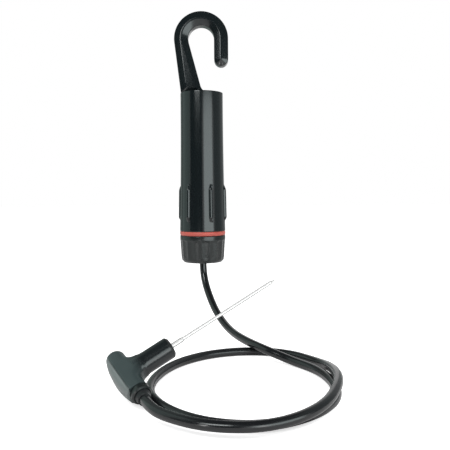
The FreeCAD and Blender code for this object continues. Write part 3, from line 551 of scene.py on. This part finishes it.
def fade_painted_sheen_along(material, direction, low, high, colour, roughness):
    """Blends a finish into another colour and gloss along a direction; on the handle it fades the
    bar's painted sheen into the darker stem.
    """
    nodes, links = material.node_tree.nodes, material.node_tree.links
    shader = nodes["Principled BSDF"]
    mask = nodes.new("ShaderNodeGroup")
    mask.node_tree = ALONG
    mask.inputs["Direction"].default_value = direction
    mask.inputs["From"].default_value = low
    mask.inputs["To"].default_value = high
    blend = nodes.new("ShaderNodeMix")
    blend.data_type = "RGBA"
    blend.inputs["B"].default_value = (*colour, 1.0)
    gloss = nodes.new("ShaderNodeMix")
    gloss.inputs["B"].default_value = roughness
    links.new(shader.inputs["Base Color"].links[0].from_socket, blend.inputs["A"])
    links.new(shader.inputs["Roughness"].links[0].from_socket, gloss.inputs["A"])
    links.new(mask.outputs["Mask"], blend.inputs["Factor"])
    links.new(mask.outputs["Mask"], gloss.inputs["Factor"])
    links.new(blend.outputs["Result"], shader.inputs["Base Color"])
    links.new(gloss.outputs["Result"], shader.inputs["Roughness"])


def paint_dark_edge_reflection(material, colour):
    """Paints a dark reflection into a finish's colour where it curves away from view, standing in
    for the dark surroundings that polished metal reflects at its edges.
    """
    nodes, links = material.node_tree.nodes, material.node_tree.links
    shader = nodes["Principled BSDF"]
    facing = nodes.new("ShaderNodeLayerWeight")
    facing.inputs["Blend"].default_value = 0.5
    edge = nodes.new("ShaderNodeMapRange")
    edge.interpolation_type = "SMOOTHSTEP"
    edge.inputs["From Min"].default_value = 0.22
    edge.inputs["From Max"].default_value = 0.62
    blend = nodes.new("ShaderNodeMix")
    blend.data_type = "RGBA"
    blend.inputs["B"].default_value = (*colour, 1.0)
    links.new(facing.outputs["Facing"], edge.inputs["Value"])
    links.new(edge.outputs["Result"], blend.inputs["Factor"])
    links.new(shader.inputs["Base Color"].links[0].from_socket, blend.inputs["A"])
    links.new(blend.outputs["Result"], shader.inputs["Base Color"])


SHELL_BLACK = surface("gloss_black_shell", (0.005, 0.008, 0.009), rough=(0.13, 0.18),
                      fine=400.0, broad=25.0, grain=0.006)
CAP_BLACK = surface("semi_gloss_black_cap", (0.006, 0.009, 0.009), rough=(0.22, 0.3),
                    fine=1500.0, grain=0.06)
SEAL_RED = surface("salmon_red_silicone", (0.46, 0.075, 0.055), (0.52, 0.10, 0.075),
                   rough=(0.36, 0.5), fine=1200.0, broad=90.0, grain=0.04, sheen=0.1)
CABLE_BLACK = surface("gloss_black_jacket", (0.006, 0.007, 0.008), rough=(0.18, 0.26),
                      fine=700.0, broad=60.0, grain=0.03)
# The handle is black plastic: the green-grey of its bar is painted sheen, standing in for the light
# its broad face reflects, and along the needle's way it turns into the near-black, glossier stem.
HANDLE_PAINTED_SHEEN = surface("satin_black_painted_sheen", (0.030, 0.044, 0.045), (0.034, 0.049, 0.050),
                      rough=(0.27, 0.34), fine=2600.0, broad=80.0, grain=0.08)
fade_painted_sheen_along(HANDLE_PAINTED_SHEEN, NEEDLE_WAY, STEM_STARTS + 0.003, STEM_STARTS + 0.012,
             (0.006, 0.009, 0.010), 0.24)
PALM_GREY = surface("satin_palm_grey", (0.13, 0.15, 0.148), (0.15, 0.172, 0.17),
                    rough=(0.34, 0.44), fine=2600.0, broad=80.0, grain=0.12)
NOSE_BLACK = surface("satin_black_nose", (0.008, 0.009, 0.010), rough=(0.3, 0.4))
BOOT_BLACK = surface("moulded_rubber_boot", (0.013, 0.015, 0.016), rough=(0.3, 0.42),
                     fine=1800.0, grain=0.1)
NEEDLE_STEEL = surface("polished_stainless", (0.80, 0.80, 0.79), (0.72, 0.72, 0.72),
                       rough=(0.22, 0.32), fine=2500.0, broad=300.0, grain=0.02, metallic=0.35)
# The needle's colour turns dark towards its outline: painted reflection, not a change in the steel.
paint_dark_edge_reflection(NEEDLE_STEEL, (0.05, 0.05, 0.052))
SPRING_STEEL = surface("plated_spring_steel", (0.62, 0.62, 0.59), (0.5, 0.5, 0.48),
                       rough=(0.22, 0.36), metallic=1.0)
CARRIER_GREY = surface("matte_carrier", (0.085, 0.09, 0.095), rough=(0.45, 0.6), grain=0.15)
BOARD_GREEN = surface("solder_mask", (0.012, 0.085, 0.035), (0.02, 0.12, 0.05),
                      rough=(0.25, 0.35), broad=400.0)
SOCKET_WHITE = surface("off_white_nylon", (0.68, 0.65, 0.56), rough=(0.4, 0.5))
WIRE_RED = surface("red_insulation", (0.38, 0.02, 0.015), rough=(0.35, 0.5))
CELL_BLUE = surface("shrink_sleeve", (0.02, 0.045, 0.14), (0.03, 0.06, 0.17),
                    rough=(0.2, 0.3), broad=120.0)
CHIP_BLACK = surface("chip_body", (0.012, 0.012, 0.014), rough=(0.5, 0.6))
BEAD_BLACK = surface("epoxy_bead", (0.012, 0.012, 0.012), rough=(0.15, 0.25))


# Camera and cable
def camera():
    """Eye just below the middle of the barrel, tipped down a little."""
    lens = bpy.data.cameras.new("camera")
    lens.lens = 48.0
    lens.sensor_width = 36.0
    lens.clip_start = 0.01
    eye = bpy.data.objects.new("camera", lens)
    bpy.context.scene.collection.objects.link(eye)
    eye.location = (0.0194, -0.522, -0.1288)
    pitch = radians(90 - 3.3)
    roll = radians(-0.35)
    eye.rotation_euler = (Matrix.Rotation(pitch, 3, "X") @ Matrix.Rotation(roll, 3, "Z")).to_euler()
    bpy.context.scene.camera = eye


def cable_piece():
    """Cable as one smooth curve through its route."""
    curve = bpy.data.curves.new("cable_jacket", "CURVE")
    curve.dimensions = "3D"
    curve.bevel_depth = CABLE_R
    curve.bevel_resolution = 7
    curve.resolution_u = 10
    curve.use_fill_caps = True
    spline = curve.splines.new("NURBS")
    spline.points.add(len(ROUTE) - 1)
    for point, place in zip(spline.points, ROUTE):
        point.co = (*place, 1.0)
    spline.order_u = 3
    spline.use_endpoint_u = True
    curve.materials.append(CABLE_BLACK)
    piece = bpy.data.objects.new("cable_jacket", curve)
    bpy.context.scene.collection.objects.link(piece)
    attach(piece, "probe_line")
    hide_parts("cable")


camera()
cable_piece()

# Pieces of the housing
finish_mesh("barrel", barrel_mesh(), "shell", ("barrel",), SHELL_BLACK, 42)
finish_mesh("hook", hook_mesh(), "shell", ("hanging_hook",), SHELL_BLACK, 50)
finish_mesh("seal_band", seal_mesh(), "seal", ("seal_ring",), SEAL_RED, 50)
finish_mesh("cap_grip", cap_mesh(), "cap", ("end_cap",), CAP_BLACK, 40)
finish_mesh("neck_thread", thread_mesh("neck_thread", NECK_R, FLANGE + 3.4 * MM), "cap", (),
            CAP_BLACK)

# Probe handle: solid, piece, material slot, material, width of round edges, sharp angle
HANDLE_PIECES = [
    ("handle_body", "handle_grip", "handle_grey", HANDLE_PAINTED_SHEEN, 0.0, 28),
    ("handle_cover", "palm_cover", "palm_grey", PALM_GREY, 0.0, 28),
    ("nose_ring", "nose_bezel", "nose_black", NOSE_BLACK, 0.25 * MM, 30),
    ("needle_bush", "needle_base", "needle_steel", NEEDLE_STEEL, 0.0, 40),
    ("needle_tube", "needle_shaft", "needle_steel", NEEDLE_STEEL, 0.0, 40),
    ("needle_tip", "needle_point", "needle_steel", NEEDLE_STEEL, 0.0, 40),
    ("boot_collar", "collar_ring", "cap_black", CAP_BLACK, 0.25 * MM, 30),
    ("cable_boot", "ball_boot", "boot_rubber", BOOT_BLACK, 0.2 * MM, 30),
]
for row in HANDLE_PIECES:
    softened(*row)

# Pieces inside the housing
INSIDE = {
    "carrier": CARRIER_GREY, "circuit_board": BOARD_GREEN, "board_socket": SOCKET_WHITE,
    "lead_plug": SOCKET_WHITE, "lead_wires": WIRE_RED, "battery_cell": CELL_BLUE,
    "battery_clip_low": SPRING_STEEL, "battery_clip_high": SPRING_STEEL,
    "cable_tail": CABLE_BLACK, "cable_clamp": CAP_BLACK, "cable_grommet": BOOT_BLACK,
    "grommet_washer": SPRING_STEEL, "thermistor": BEAD_BLACK, "sensor_leads": WIRE_RED,
    "splice_sleeves": BOOT_BLACK, "cable_cores": WIRE_RED, "board_chip_1": CHIP_BLACK,
    "board_chip_2": CHIP_BLACK, "board_chip_3": CHIP_BLACK, "board_screw_1": SPRING_STEEL,
    "board_screw_2": SPRING_STEEL,
}
for node, material in INSIDE.items():
    for slot in NODES[node].material_slots:
        slot.link = "OBJECT"
        slot.material = material


# Stage: floor, world and lights
def panel(name, centre, size, strength, turn, colour=(1, 1, 1)):
    """Upright card that only shows in reflections."""
    mesh = bpy.data.meshes.new(name)
    w, h = size[0] / 2, size[1] / 2
    mesh.from_pydata([(-w, 0, -h), (w, 0, -h), (w, 0, h), (-w, 0, h)], [], [(0, 1, 2, 3)])
    card = bpy.data.objects.new(name, mesh)
    bpy.context.scene.collection.objects.link(card)
    card.location = centre
    card.rotation_euler = (0, 0, turn)
    material = bpy.data.materials.new(name)
    material.use_nodes = True
    nodes, links = material.node_tree.nodes, material.node_tree.links
    nodes.clear()
    glow = nodes.new("ShaderNodeEmission")
    glow.inputs["Color"].default_value = (*colour, 1)
    glow.inputs["Strength"].default_value = strength
    out = nodes.new("ShaderNodeOutputMaterial")
    links.new(glow.outputs["Emission"], out.inputs["Surface"])
    mesh.materials.append(material)
    card.visible_camera = False
    card.visible_diffuse = False
    card.visible_shadow = False
    card.visible_transmission = False
    return card


def ring_card(name, bearing, width, distance, height, middle, strength, colour):
    """Card facing the barrel, at degrees from the front towards +X."""
    a = radians(bearing)
    wide = 2 * distance * tan(radians(width / 2))
    panel(name, spot(distance, a, middle), (wide, height), strength, a, colour)


def ceiling(name, middle, size, strength):
    """Level card overhead that only shows in reflections."""
    card = panel(name, middle, size, strength, 0)
    card.rotation_euler = (radians(90), 0, 0)


def floor():
    """Pale floor that looks white and keeps a faint shadow."""
    mesh = bpy.data.meshes.new("floor")
    half = 4.0
    mesh.from_pydata([(-half, -half, FLOOR), (half, -half, FLOOR), (half, half, FLOOR),
                      (-half, half, FLOOR)], [], [(0, 1, 2, 3)])
    ground = bpy.data.objects.new("floor", mesh)
    bpy.context.scene.collection.objects.link(ground)
    material = bpy.data.materials.new("floor_white")
    material.use_nodes = True
    nodes, links = material.node_tree.nodes, material.node_tree.links
    shader = nodes["Principled BSDF"]
    shader.inputs["Base Color"].default_value = (0.82, 0.82, 0.82, 1)
    shader.inputs["Roughness"].default_value = 0.9
    shader.inputs["Specular IOR Level"].default_value = 0.0
    path = nodes.new("ShaderNodeLightPath")
    lift = nodes.new("ShaderNodeMath")
    lift.operation = "MULTIPLY"
    lift.inputs[1].default_value = 0.66
    links.new(path.outputs["Is Camera Ray"], lift.inputs[0])
    shader.inputs["Emission Color"].default_value = (1, 1, 1, 1)
    links.new(lift.outputs[0], shader.inputs["Emission Strength"])
    mesh.materials.append(material)


def world():
    """White seen directly, in gloss and through glass, and a plain level of light."""
    sky = bpy.data.worlds.new("studio")
    bpy.context.scene.world = sky
    sky.use_nodes = True
    nodes, links = sky.node_tree.nodes, sky.node_tree.links
    back = nodes["Background"]
    back.inputs["Color"].default_value = (1, 1, 1, 1)
    path = nodes.new("ShaderNodeLightPath")
    first = nodes.new("ShaderNodeMath")
    first.operation = "MAXIMUM"
    second = nodes.new("ShaderNodeMath")
    second.operation = "MAXIMUM"
    level = nodes.new("ShaderNodeMapRange")
    level.inputs["To Min"].default_value = 0.55
    level.inputs["To Max"].default_value = 1.0
    links.new(path.outputs["Is Camera Ray"], first.inputs[0])
    links.new(path.outputs["Is Glossy Ray"], first.inputs[1])
    links.new(first.outputs[0], second.inputs[0])
    links.new(path.outputs["Is Transmission Ray"], second.inputs[1])
    links.new(second.outputs[0], level.inputs["Value"])
    links.new(level.outputs["Result"], back.inputs["Strength"])


def softbox(name, place, target, size, power):
    """Square lamp that gives light but no reflection."""
    lamp = bpy.data.lights.new(name, "AREA")
    lamp.shape = "RECTANGLE"
    lamp.size, lamp.size_y = size
    lamp.energy = power
    box = bpy.data.objects.new(name, lamp)
    bpy.context.scene.collection.objects.link(box)
    box.location = place
    aim = Vector(target) - Vector(place)
    box.rotation_euler = aim.to_track_quat("-Z", "Y").to_euler()
    box.visible_glossy = False


floor()
world()
softbox("key_light", (0.5, -0.7, 0.7), (0, -0.1, -0.15), (0.6, 0.6), 9.0)
softbox("fill_light", (-0.8, -0.3, 0.6), (0, -0.1, -0.15), (0.8, 0.8), 6.0)

# Cards: name, bearing and width in degrees, distance, height, middle, strength, colour
CARDS = [
    ("dark_card_front", -31, 66, 0.76, 1.9, 0.1, 0.05, (0.8, 0.95, 1.0)),
    ("thin_card_high", -22, 26, 0.72, 0.3, 0.235, 9.0, (0.95, 1.0, 1.0)),
    ("low_strip_left", -15, 4, 0.36, 0.06, -0.22, 9.0, (1, 1, 1)),
    ("low_strip_right", 14, 4, 0.36, 0.06, -0.22, 6.0, (1, 1, 1)),
    ("bright_card_right", 34, 48, 0.76, 0.62, -0.235, 4.2, (0.9, 1.0, 1.0)),
    ("dark_card_high", 34, 70, 0.78, 0.9, 0.53, 0.1, (0.9, 1.0, 1.0)),
    ("grey_card_right", 89, 46, 0.8, 1.9, 0.1, 0.35, (0.9, 1.0, 1.0)),
    ("grey_card_far_right", 134, 44, 0.8, 1.9, 0.1, 0.45, (0.95, 1.0, 1.0)),
    ("grey_card_left", -93, 54, 0.8, 1.9, 0.1, 0.8, (0.8, 1.0, 0.94)),
    ("grey_card_far_left", -150, 60, 0.8, 1.9, 0.1, 0.35, (0.85, 1.0, 0.95)),
]
for row in CARDS:
    ring_card(*row)
ceiling("dark_ceiling", (0, 0, 1.0), (1.9, 1.9), 0.08)

bpy.context.scene.view_settings.view_transform = "Standard"
